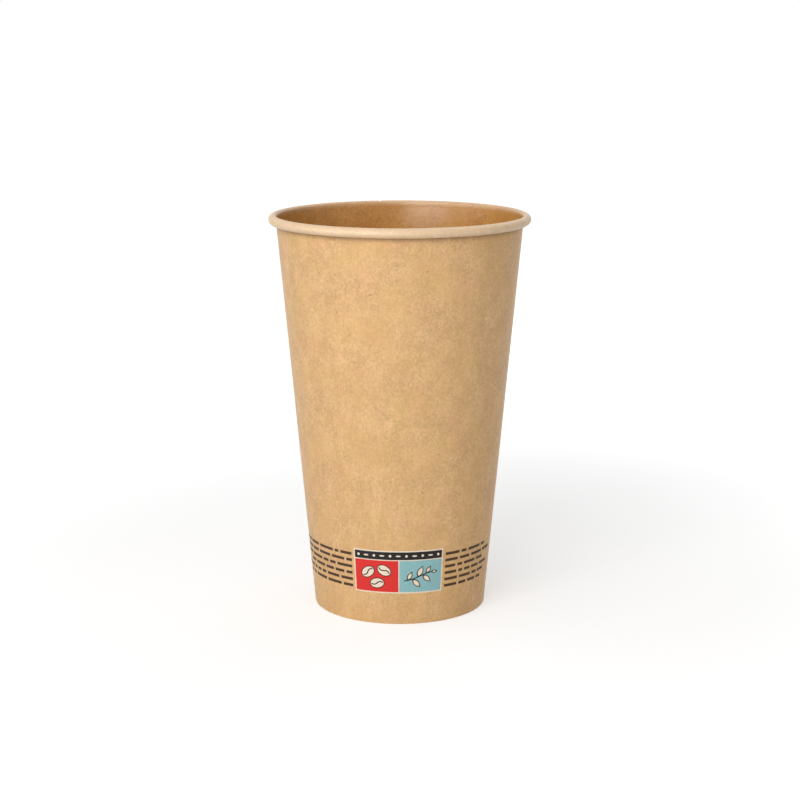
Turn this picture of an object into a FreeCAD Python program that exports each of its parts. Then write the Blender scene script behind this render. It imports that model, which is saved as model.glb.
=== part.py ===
"""A tall paper cup for hot drinks, in brown kraft board, open at the top.

It is built from the two pieces that the real cup is made of:

side_wall    one flat blank, rolled into a cone and glued where its two edges overlap at the
             back. Its top edge is rolled outwards into the rim, and its bottom edge is folded
             inwards and up into a hem.
bottom_disc  a round disc whose edge is turned down into a skirt. The hem grips the skirt, so
             that the floor of the cup is above the table.

Millimetres, +Z up. The origin is the middle of the ring that the cup stands on. The front of
the cup faces -Y, and the glued seam is at the back, on the +Y side.

The board has a coated face, which is inside the cup and comes to the outside on the rolled rim,
and a kraft face. One thickness of board is a ply. Depths are counted from the coated face of a
single ply towards its kraft face, so that a ply runs from depth 0 to WALL_BOARD.
"""

import FreeCAD, Part
import math
import os

# Overall sizes
HEIGHT = 137.4
RIM_DIAMETER = 90.0
BASE_DIAMETER = 60.0

# Board
WALL_BOARD = 0.35
DISC_BOARD = 0.30

# Rolled rim, in the order in which the board runs. The radii are those of its coated face.
RIM_INNER_RADIUS = 1.05
RIM_UPPER_RADIUS = 1.74
LIP_INSIDE_RADIUS = 0.17
LIP_LENGTH = 0.50
LIP_GAP = 0.10

# Floor and hem
FLOOR_HEIGHT = 9.0
DISC_BEND = 0.75
HEM_TOP_GAP = 0.85
HEM_CORNER = 0.25
SEAL_GAP = 0.02

# Glued seam. Its edge outside the cup is at the first angle, and the lap runs on from there. The
# seam is pressed, so that the second ply stands up by less than its own thickness.
SEAM_EDGE_ANGLE = 90.0
SEAM_LAP = 6.5
SEAM_CLIMB = 1.8
SEAM_STEP = 0.21

PARTS_FOLDER = "parts"
SAME_POINT = 1e-6
AXIS = FreeCAD.Vector(0, 0, 1)
ORIGIN = FreeCAD.Vector(0, 0, 0)

RIM_RADIUS = RIM_DIAMETER / 2
BASE_RADIUS = BASE_DIAMETER / 2
CREST_RADIUS = RIM_RADIUS - RIM_UPPER_RADIUS
HEM_HEIGHT = FLOOR_HEIGHT - DISC_BEND - HEM_TOP_GAP
POCKET = DISC_BOARD + 2 * SEAL_GAP


def wall_lean():
    """Lean of the wall from upright, in radians, that takes it from the base into the rim."""
    across = CREST_RADIUS - BASE_RADIUS
    up = HEIGHT - RIM_INNER_RADIUS
    kraft_radius = RIM_INNER_RADIUS - WALL_BOARD
    return math.acos(kraft_radius / math.hypot(across, up)) - math.atan2(up, across)


LEAN = wall_lean()
ALONG = (math.sin(LEAN), math.cos(LEAN))
OUTWARD = (math.cos(LEAN), -math.sin(LEAN))

# The roll's end turns up beside the wall, and clears it by LIP_GAP where the wall has two plies.
LIP_RADIUS = LIP_INSIDE_RADIUS + WALL_BOARD + SEAM_STEP
LIP_ROOM = SEAM_STEP + LIP_GAP + LIP_RADIUS * (1 + ALONG[0])
RIM_LOWER_RADIUS = (
    (RIM_RADIUS - BASE_RADIUS) * OUTWARD[0]
    + (HEIGHT - RIM_UPPER_RADIUS) * OUTWARD[1]
    - LIP_ROOM
) / (OUTWARD[0] + OUTWARD[1])


def point_on(centre, radius, angle):
    """The (radius, height) point of a circle at an angle in radians."""
    return centre[0] + radius * math.cos(angle), centre[1] + radius * math.sin(angle)


def vector(point):
    """A (radius, height) point as a vector in the XZ plane."""
    return FreeCAD.Vector(point[0], 0, point[1])


def arc_edge(centre, radius, start, end):
    """An edge of a section round a centre, from one angle to another."""
    points = [point_on(centre, radius, angle) for angle in (start, (start + end) / 2, end)]
    return Part.Arc(*[vector(point) for point in points]).toShape()


def closed_wire(steps):
    """The closed outline of a section through points and arcs, with straight edges between them.

    A point is (radius, height), and an arc is (centre, radius, start angle, end angle). The first
    step is a point.
    """
    edges = []
    here = steps[0]
    for step in [*steps[1:], steps[0]]:
        is_arc = len(step) == 4
        start = point_on(*step[:3]) if is_arc else step
        if math.dist(here, start) > SAME_POINT:
            edges.append(Part.LineSegment(vector(here), vector(start)).toShape())
        here = start
        if is_arc:
            edges.append(arc_edge(*step))
            here = point_on(step[0], step[1], step[3])
    return Part.Wire(edges)


def backwards(steps):
    """The same points and arcs in the opposite order."""
    return [(s[0], s[1], s[3], s[2]) if len(s) == 4 else s for s in reversed(steps)]


def wall_radius(z, depth):
    """Radius at height z of the wall's face at a depth."""
    return BASE_RADIUS + z * math.tan(LEAN) + (depth - WALL_BOARD) / math.cos(LEAN)


def hem_radius(z, depth):
    """Radius at height z of the hem's face at a depth. Its coated face looks at the wall's."""
    return wall_radius(z, -POCKET - depth)


def roll(depth):
    """Arcs and end point of the rolled rim's face at a depth, from the wall to the roll's end."""
    upright = math.pi - LEAN
    inner = (CREST_RADIUS, HEIGHT - RIM_INNER_RADIUS)
    upper = (CREST_RADIUS, HEIGHT - RIM_UPPER_RADIUS)
    lower = (RIM_RADIUS - RIM_LOWER_RADIUS, upper[1])
    lip = (lower[0], lower[1] - RIM_LOWER_RADIUS + LIP_RADIUS)
    lip_end = point_on(lip, LIP_RADIUS - depth, -math.pi - LEAN)
    return [
        (inner, RIM_INNER_RADIUS - depth, upright, math.pi / 2),
        (upper, RIM_UPPER_RADIUS - depth, math.pi / 2, 0.0),
        (lower, RIM_LOWER_RADIUS - depth, 0.0, -math.pi / 2),
        (lip, LIP_RADIUS - depth, -math.pi / 2, -math.pi - LEAN),
        (lip_end[0] + ALONG[0] * LIP_LENGTH, lip_end[1] + ALONG[1] * LIP_LENGTH),
    ]


def board_section(coated, kraft):
    """Outline of the board from the hem's top edge to the roll's end, between two depths."""
    corner = HEM_CORNER / math.cos(LEAN)
    hem_corner = (hem_radius(HEM_CORNER, kraft) + corner, HEM_CORNER)
    wall_corner = (wall_radius(HEM_CORNER, kraft) - corner, HEM_CORNER)
    coated_face = [
        (hem_radius(HEM_HEIGHT, coated), HEM_HEIGHT),
        (hem_radius(WALL_BOARD, coated), WALL_BOARD),
        (wall_radius(WALL_BOARD, coated), WALL_BOARD),
        *roll(coated),
    ]
    kraft_face = [
        (hem_radius(HEM_HEIGHT, kraft), HEM_HEIGHT),
        (hem_corner, HEM_CORNER, -math.pi - LEAN, -math.pi / 2),
        (wall_corner, HEM_CORNER, -math.pi / 2, -LEAN),
        *roll(kraft),
    ]
    return closed_wire([*coated_face, *backwards(kraft_face)])


def turned(wire, start, sweep):
    """A solid of revolution of a section, from a start angle through a sweep, in degrees."""
    face = Part.Face(wire)
    face.rotate(ORIGIN, AXIS, start)
    return face.revolve(ORIGIN, AXIS, sweep)


def at_angle(wire, angle):
    """A copy of a section, turned about the axis to an angle in degrees."""
    copy = wire.copy()
    copy.rotate(ORIGIN, AXIS, angle)
    return copy


def seam_angle(width):
    """The angle in degrees that a width takes on the inside of the wall, just below the rim."""
    return math.degrees(width / wall_radius(HEIGHT - RIM_INNER_RADIUS, 0.0))


def side_wall():
    """The rolled blank: one ply all round, two where its edges overlap, and a climb beside them."""
    single = board_section(0.0, WALL_BOARD)
    double = board_section(0.0, WALL_BOARD + SEAM_STEP)
    raised = board_section(SEAM_STEP, WALL_BOARD + SEAM_STEP)
    lap = seam_angle(SEAM_LAP)
    climb = seam_angle(SEAM_CLIMB)
    lap_end = SEAM_EDGE_ANGLE + lap
    climb_end = lap_end + climb
    overlap = turned(double, SEAM_EDGE_ANGLE, lap)
    ramp = Part.makeLoft([at_angle(raised, lap_end), at_angle(single, climb_end)], True, True)
    around = turned(single, climb_end, 360.0 - lap - climb)
    return overlap.multiFuse([ramp, around]).removeSplitter().Solids[0]


def bottom_disc():
    """The floor of the cup, with its edge turned down into the pocket between wall and hem."""
    outside = -SEAL_GAP
    inside = outside - DISC_BOARD
    foot = WALL_BOARD + SEAL_GAP
    bend_height = FLOOR_HEIGHT - DISC_BEND
    bend = (wall_radius(bend_height, outside) - DISC_BEND / math.cos(LEAN), bend_height)
    section = closed_wire(
        [
            (0.0, FLOOR_HEIGHT),
            (bend, DISC_BEND, math.pi / 2, -LEAN),
            (wall_radius(foot, outside), foot),
            (wall_radius(foot, inside), foot),
            (bend, DISC_BEND - DISC_BOARD, -LEAN, math.pi / 2),
            (0.0, FLOOR_HEIGHT - DISC_BOARD),
        ]
    )
    return turned(section, 0.0, 360.0)


def main():
    """Builds both pieces and writes each one to its own file."""
    os.makedirs(PARTS_FOLDER, exist_ok=True)
    for name, solid in (("side_wall", side_wall()), ("bottom_disc", bottom_disc())):
        solid.exportStep(os.path.join(PARTS_FOLDER, f"{name}.step"))
        box = solid.optimalBoundingBox(False)
        print(
            f"{name}: valid {solid.isValid()}, {solid.Volume:.1f} mm3,",
            f"X {box.XMin:.3f} to {box.XMax:.3f}, Y {box.YMin:.3f} to {box.YMax:.3f},",
            f"Z {box.ZMin:.3f} to {box.ZMax:.3f}",
        )


main()
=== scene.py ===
"""Dresses a tall brown paper cup and sets it in a plain studio.

The cup's two boards are made again as smooth rolled sheets at their real thickness, with the
glued lap at the back, and take the place of the plain solids. The print on the front is a thin
layer of ink for each colour. Everything is in metres in the frame of the solids: +Z up, the front
of the cup towards -Y, and the middle of the ring that it stands on at the origin.
"""

import sys

import logging
import math
from dataclasses import dataclass
from enum import Enum
from itertools import accumulate
from typing import Any

import bmesh
import bpy
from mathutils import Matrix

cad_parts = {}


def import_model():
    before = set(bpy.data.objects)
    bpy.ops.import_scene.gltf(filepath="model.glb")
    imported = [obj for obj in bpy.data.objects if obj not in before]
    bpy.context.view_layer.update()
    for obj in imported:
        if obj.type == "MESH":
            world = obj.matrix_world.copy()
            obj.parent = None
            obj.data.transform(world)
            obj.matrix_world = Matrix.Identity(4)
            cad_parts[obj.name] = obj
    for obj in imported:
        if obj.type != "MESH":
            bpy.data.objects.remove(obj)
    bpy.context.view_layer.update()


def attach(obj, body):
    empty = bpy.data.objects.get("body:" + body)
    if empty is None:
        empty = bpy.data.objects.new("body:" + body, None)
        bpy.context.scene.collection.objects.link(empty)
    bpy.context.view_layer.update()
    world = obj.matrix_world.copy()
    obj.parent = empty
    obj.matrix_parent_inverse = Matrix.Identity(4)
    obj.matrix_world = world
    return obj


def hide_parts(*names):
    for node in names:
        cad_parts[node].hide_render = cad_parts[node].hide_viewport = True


MM = 0.001
SAME_POINT = 1e-7
CORNER_STEPS = 5
OVAL_SIDES = 28
LEAF_STEPS = 14
LEAF_POINT_ROOM = 1.8
LEAF_FULLNESS = 0.85

Point = tuple[float, float]
Colour = tuple[float, float, float, float]

WHITE: Colour = (1.0, 1.0, 1.0, 1.0)

log = logging.getLogger("paper_cup")


def from_screen(red: int, green: int, blue: int) -> Colour:
    """Turns a colour as a screen shows it into the values that a shader takes.

    Args:
        red: Red, 0 to 255.
        green: Green, 0 to 255.
        blue: Blue, 0 to 255.

    Returns:
        Linear red, green and blue, and an alpha of 1.
    """
    shares = [value / 255 for value in (red, green, blue)]
    linear = [s / 12.92 if s <= 0.04045 else ((s + 0.055) / 1.055) ** 2.4 for s in shares]
    return linear[0], linear[1], linear[2], 1.0


def darker(colour: Colour, share: float) -> Colour:
    """A colour that keeps this share of its light."""
    return colour[0] * share, colour[1] * share, colour[2] * share, colour[3]


def point_on(centre: Point, radius: float, angle: float) -> Point:
    """The (radius, height) point of a circle at an angle in radians."""
    return centre[0] + radius * math.cos(angle), centre[1] + radius * math.sin(angle)


def between(start: Point, end: Point, share: float) -> Point:
    """The point at a share of the way from one point to another."""
    return start[0] + (end[0] - start[0]) * share, start[1] + (end[1] - start[1]) * share


class TreeWriter:
    """Adds nodes to a shader or geometry tree and links them, in the order in which they are read."""

    def __init__(self, tree: bpy.types.NodeTree) -> None:
        """Starts on an empty tree."""
        self.tree = tree
        tree.nodes.clear()

    @staticmethod
    def socket(sockets: Any, key: int | str) -> bpy.types.NodeSocket:
        """Finds a socket by its place or its name.

        Args:
            sockets: The inputs or outputs of a node.
            key: The socket's place, or its name among the sockets in use.

        Returns:
            The socket.
        """
        if isinstance(key, int):
            return sockets[key]
        return next(socket for socket in sockets if socket.enabled and socket.name == key)

    def feed(self, node: bpy.types.Node, key: int | str, value: Any) -> None:
        """Links a node or socket to an input, or sets the input to a plain value.

        Args:
            node: The node that takes the value.
            key: The input's place or name.
            value: A node, a socket or a plain value.
        """
        target = self.socket(node.inputs, key)
        if isinstance(value, bpy.types.Node):
            value = next(output for output in value.outputs if output.enabled)
        if isinstance(value, bpy.types.NodeSocket):
            self.tree.links.new(value, target)
        else:
            target.default_value = value

    def add(
        self, kind: str, inputs: dict[int | str, Any] | None = None, **settings: Any
    ) -> bpy.types.Node:
        """Adds a node.

        Args:
            kind: The node's type.
            inputs: What goes into its inputs, by place or name.
            **settings: The node's own options.

        Returns:
            The node.
        """
        node = self.tree.nodes.new(kind)
        for name, value in settings.items():
            setattr(node, name, value)
        for key, value in (inputs or {}).items():
            self.feed(node, key, value)
        return node

    def out(self, node: bpy.types.Node, name: str) -> bpy.types.NodeSocket:
        """The output of a node that has this name."""
        return self.socket(node.outputs, name)

    def calc(self, operation: str, *values: Any) -> bpy.types.NodeSocket:
        """A sum, product or other operation on numbers."""
        return self.add("ShaderNodeMath", dict(enumerate(values)), operation=operation).outputs[0]

    def vector(self, operation: str, *values: Any) -> bpy.types.NodeSocket:
        """An operation on vectors that gives a vector."""
        inputs = dict(enumerate(values))
        return self.add("ShaderNodeVectorMath", inputs, operation=operation).outputs[0]

    def scaled(self, vector: Any, amount: Any) -> bpy.types.NodeSocket:
        """A vector times a number."""
        inputs = {0: vector, "Scale": amount}
        return self.add("ShaderNodeVectorMath", inputs, operation="SCALE").outputs[0]

    def ramp(
        self, value: Any, start: Any, end: Any, low: Any = 0.0, high: Any = 1.0, soft: bool = False
    ) -> bpy.types.NodeSocket:
        """Takes a value from one range to another and holds it there.

        Args:
            value: The value.
            start: Where the change begins.
            end: Where the change ends.
            low: The result at the start.
            high: The result at the end.
            soft: Whether the change eases in and out.

        Returns:
            The result.
        """
        inputs = {"Value": value, "From Min": start, "From Max": end, "To Min": low, "To Max": high}
        easing = "SMOOTHSTEP" if soft else "LINEAR"
        return self.add("ShaderNodeMapRange", inputs, interpolation_type=easing).outputs[0]

    def blend(self, share: Any, first: Any, second: Any) -> bpy.types.NodeSocket:
        """Mixes two colours.

        Args:
            share: How much of the second colour there is.
            first: The first colour.
            second: The second colour.

        Returns:
            The mixed colour.
        """
        node = self.add("ShaderNodeMix", data_type="RGBA", clamp_factor=True)
        self.feed(node, "Factor", share)
        self.feed(node, "A", first)
        self.feed(node, "B", second)
        return self.out(node, "Result")


def new_material(name: str) -> tuple[bpy.types.Material, TreeWriter]:
    """Starts a material.

    Args:
        name: The material's name.

    Returns:
        The material, and the writer of its empty tree.
    """
    material = bpy.data.materials.new(name)
    material.use_nodes = True
    return material, TreeWriter(material.node_tree)


def fine_grain(write: TreeWriter, scale: float) -> bpy.types.NodeSocket:
    """Lays fine noise over a piece.

    Args:
        write: The writer of the material's tree.
        scale: How many of its largest features go to a metre.

    Returns:
        The noise, from 0 to 1.
    """
    place = write.out(write.add("ShaderNodeTexCoord"), "Object")
    inputs = {"Vector": place, "Scale": scale, "Detail": 2.0}
    return write.ramp(write.add("ShaderNodeTexNoise", inputs).outputs[0], 0.3, 0.7)


class SocketKind(Enum):
    """The kinds of input that the geometry trees take."""

    GEOMETRY = "NodeSocketGeometry"
    NUMBER = "NodeSocketFloat"
    COUNT = "NodeSocketInt"
    CHOICE = "NodeSocketBool"
    MATERIAL = "NodeSocketMaterial"


class GeometryTree:
    """A geometry tree with named inputs, which turns a guide mesh into a finished plain mesh."""

    def __init__(self, name: str, inputs: dict[str, SocketKind]) -> None:
        """Makes the tree and its sockets.

        Args:
            name: The tree's name.
            inputs: The kind of each input after the guide, by name.
        """
        self.group = bpy.data.node_groups.new(name, "GeometryNodeTree")
        self.write = TreeWriter(self.group)
        sockets = self.group.interface
        sockets.new_socket("Guide", in_out="INPUT", socket_type=SocketKind.GEOMETRY.value)
        for label, kind in inputs.items():
            sockets.new_socket(label, in_out="INPUT", socket_type=kind.value)
        sockets.new_socket("Result", in_out="OUTPUT", socket_type=SocketKind.GEOMETRY.value)
        self.entry = self.write.add("NodeGroupInput")

    def given(self, name: str) -> bpy.types.NodeSocket:
        """The value that the tree is given for one of its inputs."""
        return self.write.out(self.entry, name)

    def end_with(self, geometry: Any) -> None:
        """Sends the last geometry out of the tree."""
        self.write.add("NodeGroupOutput", {"Result": geometry})

    def apply(self, guide: bpy.types.Object, values: dict[str, Any]) -> bpy.types.Object:
        """Runs the tree on a guide and keeps the result as the guide's own plain mesh.

        Args:
            guide: The object whose mesh the tree starts from.
            values: A value for each input, by name.

        Returns:
            The same object, with its new mesh and no modifier.
        """
        modifier = guide.modifiers.new(self.group.name, "NODES")
        modifier.node_group = self.group
        for item in self.group.interface.items_tree:
            if item.in_out == "INPUT" and item.name in values:
                modifier[item.identifier] = values[item.name]
        depsgraph = bpy.context.evaluated_depsgraph_get()
        mesh = bpy.data.meshes.new_from_object(
            guide.evaluated_get(depsgraph), preserve_all_data_layers=True, depsgraph=depsgraph
        )
        guide.modifiers.remove(modifier)
        guide.data = mesh
        mesh.name = guide.name
        return guide


def new_object(name: str, mesh: bpy.types.Mesh) -> bpy.types.Object:
    """Puts a mesh into the scene as an object at the origin.

    Args:
        name: The object's name.
        mesh: Its mesh.

    Returns:
        The object.
    """
    piece = bpy.data.objects.new(name, mesh)
    bpy.context.collection.objects.link(piece)
    return piece


def smooth(piece: bpy.types.Object, crease: float) -> None:
    """Shades a piece smoothly, apart from edges that turn by more than an angle.

    Args:
        piece: The piece.
        crease: The least angle in radians at which an edge stays sharp.
    """
    piece.data.shade_smooth()
    piece.data.set_sharp_from_angle(angle=crease)


@dataclass(frozen=True)
class CupForm:
    """The cup's own sizes and the lines that its boards follow.

    Depths are counted from the coated face of a board towards its kraft face.
    """

    height: float = 137.4 * MM
    rim_radius: float = 45.0 * MM
    base_radius: float = 30.0 * MM
    wall_board: float = 0.35 * MM
    disc_board: float = 0.30 * MM
    rim_inner_radius: float = 1.05 * MM
    rim_upper_radius: float = 1.74 * MM
    lip_inside_radius: float = 0.17 * MM
    lip_length: float = 0.50 * MM
    lip_gap: float = 0.10 * MM
    floor_height: float = 9.0 * MM
    disc_bend: float = 0.75 * MM
    hem_top_gap: float = 0.85 * MM
    hem_corner: float = 0.25 * MM
    fold_inside_radius: float = 0.05 * MM
    seal_gap: float = 0.02 * MM
    seam_lap: float = 6.5 * MM
    seam_climb: float = 1.8 * MM
    seam_step: float = 0.21 * MM

    @property
    def crest_radius(self) -> float:
        """Radius of the circle along the top of the rim."""
        return self.rim_radius - self.rim_upper_radius

    @property
    def lean(self) -> float:
        """Finds the lean that takes the wall from the base into the rim.

        Returns:
            The wall's lean from upright, in radians.
        """
        across = self.crest_radius - self.base_radius
        up = self.height - self.rim_inner_radius
        kraft_radius = self.rim_inner_radius - self.wall_board
        return math.acos(kraft_radius / math.hypot(across, up)) - math.atan2(up, across)

    @property
    def pocket(self) -> float:
        """Width of the gap between wall and hem, where the skirt of the disc sits."""
        return self.disc_board + 2 * self.seal_gap

    @property
    def hem_height(self) -> float:
        """Height of the hem's top edge."""
        return self.floor_height - self.disc_bend - self.hem_top_gap

    @property
    def fold_height(self) -> float:
        """Height at which the coated face begins to bend into the fold."""
        return self.wall_board + self.fold_inside_radius

    @property
    def lip_radius(self) -> float:
        """Radius of the coated face where the roll's end turns up beside the wall."""
        return self.lip_inside_radius + self.wall_board + self.seam_step

    @property
    def rim_lower_radius(self) -> float:
        """Finds the radius of the roll's underside that leaves the lip its gap beside the wall.

        Returns:
            The radius of the coated face there.
        """
        outward = (math.cos(self.lean), -math.sin(self.lean))
        room = self.seam_step + self.lip_gap + self.lip_radius * (1 + math.sin(self.lean))
        reach = (self.rim_radius - self.base_radius) * outward[0]
        reach += (self.height - self.rim_upper_radius) * outward[1] - room
        return reach / (outward[0] + outward[1])

    def wall_radius(self, z: float, depth: float) -> float:
        """Radius at height z of the wall's face at a depth."""
        offset = (depth - self.wall_board) / math.cos(self.lean)
        return self.base_radius + z * math.tan(self.lean) + offset

    def hem_radius(self, z: float, depth: float) -> float:
        """Radius at height z of the hem's face at a depth."""
        return self.wall_radius(z, -self.pocket - depth)

    def seam_angle(self, width: float) -> float:
        """Angle in radians that a width takes on the inside of the wall, just below the rim."""
        return width / self.wall_radius(self.height - self.rim_inner_radius, 0.0)


@dataclass(frozen=True)
class BoardRow:
    """One step along a board: a (radius, height) point on each face, and its part in the rim."""

    coated: Point
    kraft: Point
    rolled: float = 0.0


def board_rows_along(
    coated: tuple[Point, Point],
    kraft: tuple[Point, Point],
    steps: int,
    rolled: float = 0.0,
) -> list[BoardRow]:
    """Rows of a straight stretch of board.

    Args:
        coated: Start and end of the coated face.
        kraft: Start and end of the kraft face.
        steps: How many rows there are after the start, which isn't among them.
        rolled: How far this stretch belongs to the rolled rim.

    Returns:
        The rows, in order.
    """
    shares = [step / steps for step in range(1, steps + 1)]
    return [BoardRow(between(*coated, share), between(*kraft, share), rolled) for share in shares]


def board_rows_round(
    centres: tuple[Point, Point],
    radii: tuple[float, float],
    angles: tuple[float, float],
    steps: int,
    rolled: tuple[float, float] = (0.0, 0.0),
) -> list[BoardRow]:
    """Rows of a bend.

    Args:
        centres: Centre of the coated face's arc and of the kraft face's.
        radii: Radius of each of the two arcs.
        angles: Angle in radians at the start and the end.
        steps: How many rows there are after the start, which isn't among them.
        rolled: How far the bend belongs to the rolled rim, at its start and its end.

    Returns:
        The rows, in order.
    """
    rows = []
    for step in range(1, steps + 1):
        share = step / steps
        angle = angles[0] + (angles[1] - angles[0]) * share
        coated = point_on(centres[0], radii[0], angle)
        kraft = point_on(centres[1], radii[1], angle)
        rows.append(BoardRow(coated, kraft, rolled[0] + (rolled[1] - rolled[0]) * share))
    return rows


def store(mesh: bpy.types.Mesh, name: str, values: list[float], is_vector: bool = False) -> None:
    """Gives a mesh an attribute with a value for each point.

    Args:
        mesh: The mesh.
        name: The attribute's name.
        values: The values in order, three to a point for a vector.
        is_vector: Whether the attribute is a vector.
    """
    kind = "FLOAT_VECTOR" if is_vector else "FLOAT"
    attribute = mesh.attributes.new(name, kind, "POINT")
    attribute.data.foreach_set("vector" if is_vector else "value", values)


def board_guide(name: str, rows: list[BoardRow]) -> bpy.types.Object:
    """Makes the guide that the board tree rolls up: a line of points with what each row holds.

    Args:
        name: Name of the piece that it becomes.
        rows: The rows, in order.

    Returns:
        The guide, with one point for each row.
    """
    mesh = bpy.data.meshes.new(name)
    points = [(row.coated[0], 0.0, row.coated[1]) for row in rows]
    mesh.from_pydata(points, [(i, i + 1) for i in range(len(rows) - 1)], [])
    steps = [math.dist(a.coated, b.coated) for a, b in zip(rows, rows[1:])]
    across = [(row.kraft[0] - row.coated[0], 0.0, row.kraft[1] - row.coated[1]) for row in rows]
    store(mesh, "across", [value for step in across for value in step], is_vector=True)
    store(mesh, "along", [0.0, *accumulate(steps)])
    store(mesh, "rolled", [row.rolled for row in rows])
    return new_object(name, mesh)


class RolledBoardTree(GeometryTree):
    """Rolls a sheet of board round the Z axis, from a guide that gives its section.

    The sheet starts on the outside of the lap, comes down beside the inner ply's edge, goes once
    round, and ends under its own start. Shares are of one board's thickness.
    """

    FAR = "far point"

    def __init__(self) -> None:
        """Writes the tree."""
        number = SocketKind.NUMBER
        super().__init__(
            "Rolled board",
            {
                "Columns": SocketKind.COUNT,
                "Seam columns": SocketKind.COUNT,
                "Start angle": number,
                "Lap angle": number,
                "Climb angle": number,
                "Tuck angle": number,
                "Lift share": number,
                "Step share": number,
                "Press share": number,
                "Reference radius": number,
                "Closed": SocketKind.CHOICE,
                "Coated face": SocketKind.MATERIAL,
                "Kraft face": SocketKind.MATERIAL,
                "Cut edge": SocketKind.MATERIAL,
            },
        )
        self.end_with(self.solid_board())

    def turn(self, column: Any) -> bpy.types.NodeSocket:
        """The angle that a column has gone round from the sheet's start.

        Args:
            column: The column's number.

        Returns:
            The angle in radians.
        """
        write = self.write
        lap = self.given("Lap angle")
        tuck = self.given("Tuck angle")
        first = self.given("Seam columns")
        second = write.calc("ADD", first, self.given("Columns"))
        third = write.calc("ADD", second, first)
        beside = write.calc("ADD", lap, self.given("Climb angle"))
        under = write.calc("ADD", lap, tuck)
        around = write.calc("SUBTRACT", 2 * math.pi, write.calc("ADD", beside, tuck))
        turn = write.ramp(column, 0.0, first, 0.0, beside)
        turn = write.calc("ADD", turn, write.ramp(column, first, second, 0.0, around))
        return write.calc("ADD", turn, write.ramp(column, second, third, 0.0, under))

    def faces(self, turn: Any) -> tuple[bpy.types.NodeSocket, bpy.types.NodeSocket]:
        """How deep the two faces of the sheet lie at an angle from its start.

        Args:
            turn: The angle from the sheet's start.

        Returns:
            The depth of the coated face and of the kraft face, in shares.
        """
        write = self.write
        lap = self.given("Lap angle")
        beside = write.calc("ADD", lap, self.given("Climb angle"))
        lifted = write.ramp(turn, lap, beside, 1.0, 0.0, soft=True)
        before = write.calc("SUBTRACT", 2 * math.pi, self.given("Tuck angle"))
        tucked = write.ramp(turn, before, 2 * math.pi, 0.0, 1.0, soft=True)
        near = write.calc("MULTIPLY", lifted, self.given("Lift share"))
        far = write.calc("MULTIPLY_ADD", lifted, self.given("Step share"), 1.0)
        far = write.calc("SUBTRACT", far, write.calc("MULTIPLY", tucked, self.given("Press share")))
        return near, far

    def sampled(self, name: str, row: Any, is_vector: bool = False) -> bpy.types.NodeSocket:
        """What the guide holds for a row.

        Args:
            name: Name of the guide's attribute.
            row: The row's number.
            is_vector: Whether the attribute is a vector.

        Returns:
            The attribute's value at that row.
        """
        kind = "FLOAT_VECTOR" if is_vector else "FLOAT"
        value = self.write.add("GeometryNodeInputNamedAttribute", {"Name": name}, data_type=kind)
        inputs = {"Geometry": self.given("Guide"), "Value": value, "Index": row}
        return self.write.add("GeometryNodeSampleIndex", inputs, data_type=kind).outputs[0]

    def sheet(self) -> tuple[bpy.types.NodeSocket, bpy.types.NodeSocket]:
        """Lays out the coated face of the rolled sheet.

        Returns:
            The face as a grid, and the number of its last row.
        """
        write = self.write
        rows = write.add("GeometryNodeAttributeDomainSize", {"Geometry": self.given("Guide")})
        rows = write.out(rows, "Point Count")
        seams = write.calc("MULTIPLY", self.given("Seam columns"), 2)
        columns = write.calc("ADD", write.calc("ADD", seams, self.given("Columns")), 1)
        sizes = {"Size X": 1.0, "Size Y": 1.0, "Vertices X": columns, "Vertices Y": rows}
        grid = write.add("GeometryNodeMeshGrid", sizes)
        index = write.add("GeometryNodeInputIndex")
        column = write.calc("FLOOR", write.calc("DIVIDE", index, rows))
        row = write.calc("SUBTRACT", index, write.calc("MULTIPLY", column, rows))
        turn = self.turn(column)
        near, far = self.faces(turn)
        position = write.add("GeometryNodeInputPosition")
        inputs = {"Geometry": self.given("Guide"), "Value": position, "Index": row}
        coated = write.add("GeometryNodeSampleIndex", inputs, data_type="FLOAT_VECTOR")
        across = self.sampled("across", row, is_vector=True)
        angle = write.calc("ADD", turn, self.given("Start angle"))
        ends = []
        for depth in (near, far):
            point = write.vector("ADD", coated, write.scaled(across, depth))
            # No point passes the axis or goes below the table
            standing = write.vector("MAXIMUM", point, (0.0, -1.0, 0.0))
            spin = {"Vector": standing, "Angle": angle}
            ends.append(write.add("ShaderNodeVectorRotate", spin, rotation_type="Z_AXIS"))
        round_it = write.calc("MULTIPLY", turn, self.given("Reference radius"))
        along = self.sampled("along", row)
        blank = write.add("ShaderNodeCombineXYZ", {"X": round_it, "Y": along})
        spin = {"Vector": write.add("ShaderNodeCombineXYZ", {"X": along}), "Angle": angle}
        disc = write.add("ShaderNodeVectorRotate", spin, rotation_type="Z_AXIS")
        inputs = {"Switch": self.given("Closed"), "False": blank, "True": disc}
        flat = write.add("GeometryNodeSwitch", inputs, input_type="VECTOR")
        mesh = write.out(grid, "Mesh")
        for name, value, kind in (
            (self.FAR, ends[1], "FLOAT_VECTOR"),
            ("sheet", flat, "FLOAT_VECTOR"),
            ("rolled", self.sampled("rolled", row), "FLOAT"),
            ("row", row, "FLOAT"),
        ):
            inputs = {"Geometry": mesh, "Name": name, "Value": value}
            mesh = write.add("GeometryNodeStoreNamedAttribute", inputs, data_type=kind).outputs[0]
        mesh = write.add("GeometryNodeSetPosition", {"Geometry": mesh, "Position": ends[0]})
        return mesh.outputs[0], write.calc("SUBTRACT", rows, 1)

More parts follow.
